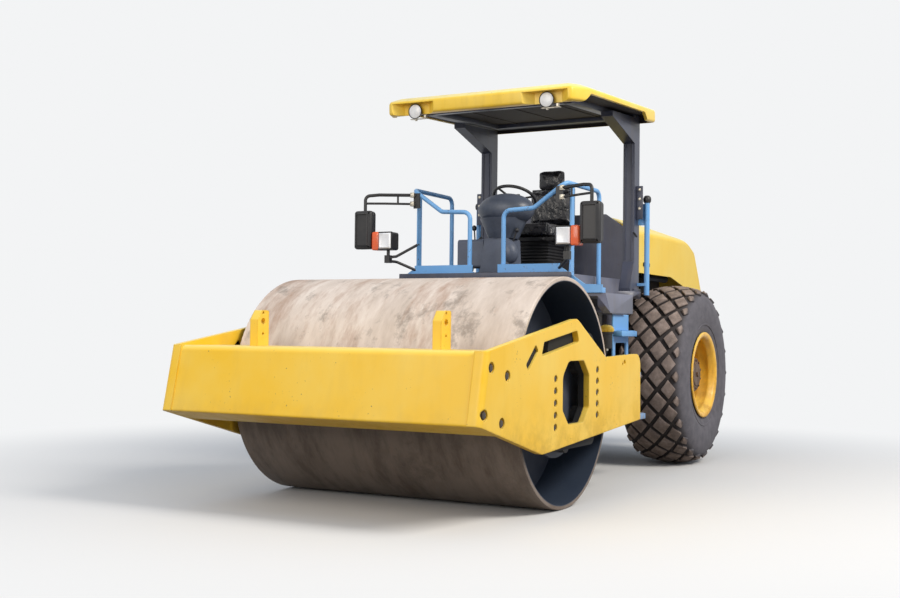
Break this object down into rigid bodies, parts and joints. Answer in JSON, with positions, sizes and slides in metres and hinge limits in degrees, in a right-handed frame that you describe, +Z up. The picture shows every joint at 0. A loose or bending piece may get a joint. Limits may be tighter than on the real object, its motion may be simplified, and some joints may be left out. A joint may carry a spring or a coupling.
{
  "type": "road roller",
  "caption": "Articulated soil compactor with a smooth vibrating drum in a steel frame ahead of an open operator's platform with a roof, and two lug-tread drive tyres at the rear.",
  "frame": {"origin": "on the ground under the articulation pin, midway along and across the machine", "axes": "+X is the forward driving direction, +Y the operator's left, +Z up"},
  "size_m": [5.934, 2.3, 3.0749],
  "materials": {
    "yellow_paint": "semi-gloss yellow enamel, dusty low down",
    "drum_steel": "worn rolled steel with dust and rust",
    "cast_carrier": "dark painted casting",
    "mount_rubber": "matt black rubber",
    "scraper_steel": "dark dusty steel bar",
    "tyre_rubber": "dusty tyre rubber",
    "rim_paint": "orange-yellow enamel",
    "hub_paint": "brown dusty casting paint",
    "chassis_paint": "dark grey paint",
    "grey_paint": "slate grey satin paint",
    "blue_paint": "light blue satin paint",
    "pin_steel": "greased steel",
    "rod_chrome": "hard chrome",
    "black_plastic": "grained black plastic",
    "console_plastic": "moulded dark grey plastic",
    "seat_vinyl": "black vinyl",
    "lamp_lens": "clear lamp lens"
  },
  "bodies": {
    "tractor": {"rear_chassis": "chassis_paint", "articulation_pin": "pin_steel", "rear_axle": "hub_paint", "engine_block": "cast_carrier", "platform": "grey_paint", "handrail_left": "blue_paint", "handrail_right": "blue_paint", "mirror_left": "black_plastic", "mirror_right": "black_plastic", "head_lamp_left": "black_plastic", "head_lamp_right": "black_plastic", "console": "console_plastic", "console_column": "console_plastic", "steering_wheel": "black_plastic", "seat_base": "black_plastic", "seat_cushion": "seat_vinyl", "seat_back": "seat_vinyl", "rops_post_left": "grey_paint", "rops_post_right": "grey_paint", "rops_top": "grey_paint", "canopy": "yellow_paint", "work_lamps": "lamp_lens", "bulkhead": "grey_paint", "steps_left": "blue_paint", "steps_right": "blue_paint", "grab_pole_left": "blue_paint", "grab_pole_right": "blue_paint", "rear_bumper": "chassis_paint", "tail_lamps": "lamp_lens"},
    "engine_hood": {"hood": "yellow_paint", "rear_grille": "black_plastic"},
    "front_frame": {"side_plate_left": "yellow_paint", "side_plate_right": "yellow_paint", "front_beam": "yellow_paint", "rear_beam": "yellow_paint", "drum_scrapers": "scraper_steel", "drum_carrier_left": "cast_carrier", "drum_carrier_right": "cast_carrier", "shock_mounts_left": "mount_rubber", "shock_mounts_right": "mount_rubber", "mount_plate_left": "yellow_paint", "mount_plate_right": "yellow_paint"},
    "drum": {"drum_shell": "drum_steel", "drum_head_left": "drum_steel", "drum_head_right": "drum_steel"},
    "wheel_left": {"tyre_left": "tyre_rubber", "rim_left": "rim_paint", "wheel_hub_left": "hub_paint"},
    "wheel_right": {"tyre_right": "tyre_rubber", "rim_right": "rim_paint", "wheel_hub_right": "hub_paint"},
    "barrel_left": {"cylinder_barrel_left": "chassis_paint"},
    "barrel_right": {"cylinder_barrel_right": "chassis_paint"},
    "rod_left": {"cylinder_rod_left": "rod_chrome"},
    "rod_right": {"cylinder_rod_right": "rod_chrome"}
  },
  "joints": [
    {"name": "steer", "type": "hinge", "parent": "tractor", "child": "front_frame", "pos_m": [0, 0, 0.8], "axis": [0, 0, 1], "range_deg": [-33, 33]},
    {"name": "drum_roll", "type": "hinge", "parent": "front_frame", "child": "drum", "pos_m": [1.575, 0, 0.76], "axis": [0, 1, 0], "continuous": true},
    {"name": "wheel_left_roll", "type": "hinge", "parent": "tractor", "child": "wheel_left", "pos_m": [-1.575, 0.781, 0.79], "axis": [0, 1, 0], "continuous": true},
    {"name": "wheel_right_roll", "type": "hinge", "parent": "tractor", "child": "wheel_right", "pos_m": [-1.575, -0.781, 0.79], "axis": [0, 1, 0], "continuous": true},
    {"name": "hood_open", "type": "hinge", "parent": "tractor", "child": "engine_hood", "pos_m": [-2.675, 0, 1.545], "axis": [0, -1, 0], "range_deg": [0, 55]},
    {"name": "barrel_swing_left", "type": "hinge", "parent": "tractor", "child": "barrel_left", "pos_m": [-0.275, 0.18, 0.56], "axis": [0, 0, 1], "range_deg": [-16.6, 16.6]},
    {"name": "rod_slide_left", "type": "slide", "parent": "barrel_left", "child": "rod_left", "axis": [1, 0, 0], "range_m": [-0.1027, 0.1027]},
    {"name": "barrel_swing_right", "type": "hinge", "parent": "tractor", "child": "barrel_right", "pos_m": [-0.275, -0.18, 0.56], "axis": [0, 0, 1], "range_deg": [-16.6, 16.6]},
    {"name": "rod_slide_right", "type": "slide", "parent": "barrel_right", "child": "rod_right", "axis": [1, 0, 0], "range_m": [-0.1027, 0.1027]}
  ],
  "couplings": [
    {"joint": "barrel_swing_left", "follows": "steer", "ratio": 0.5},
    {"joint": "rod_slide_left", "follows": "steer", "m_per_rad": -0.1776},
    {"joint": "barrel_swing_right", "follows": "steer", "ratio": 0.5},
    {"joint": "rod_slide_right", "follows": "steer", "m_per_rad": 0.1776}
  ]
}
